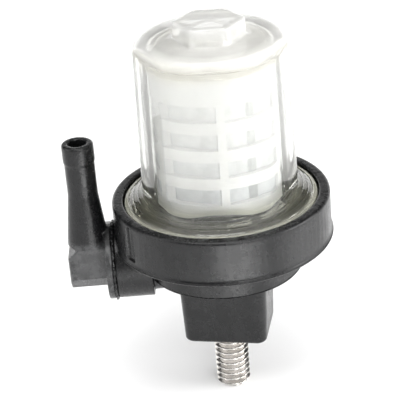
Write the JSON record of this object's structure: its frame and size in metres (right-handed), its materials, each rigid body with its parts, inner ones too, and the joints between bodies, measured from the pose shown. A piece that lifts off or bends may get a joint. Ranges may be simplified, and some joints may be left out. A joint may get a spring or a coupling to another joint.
{
  "type": "fuel filter",
  "caption": "Small-engine fuel filter: black moulded head with a threaded mounting stud and two hose nipples, and a clear screw-in bowl over a mesh element.",
  "frame": {"origin": "centre of the mounting stud where it leaves the head's flat mounting face", "axes": "+Z along the main axis from the mounting face towards the bowl's wrench boss; -X towards the inlet nipple; +Y along the outlet nipple"},
  "size_m": [0.0601, 0.0749, 0.0907],
  "materials": {
    "black_nylon": "satin moulded nylon",
    "clear_bowl": "clear, faintly yellow moulded plastic",
    "white_plastic": "satin moulded plastic",
    "filter_mesh": "fine woven nylon",
    "steel": "bright plated steel",
    "seal_rubber": "smooth moulded rubber"
  },
  "bodies": {
    "head": {"head_body": "black_nylon", "mounting_stud": "steel", "inlet_elbow": "black_nylon", "inlet_weld_seam": "black_nylon", "outlet_nipple": "black_nylon", "outlet_weld_seam": "black_nylon", "element_collar": "black_nylon", "element_cage": "white_plastic", "element_mesh": "filter_mesh", "element_cap": "white_plastic", "element_seal_bush": "seal_rubber"},
    "seal": {"bowl_seal_ring": "seal_rubber"},
    "bowl": {"bowl": "clear_bowl"}
  },
  "joints": [
    {"name": "bowl_lift", "type": "slide", "parent": "head", "child": "seal", "axis": [0, 0, 1], "range_m": [0, 0.0034]},
    {"name": "bowl_turn", "type": "hinge", "parent": "seal", "child": "bowl", "pos_m": [0, 0, 0.035], "axis": [0, 0, 1], "range_deg": [0, 810]}
  ],
  "couplings": [
    {"joint": "bowl_lift", "follows": "bowl_turn", "m_per_rad": 0.00023873}
  ]
}
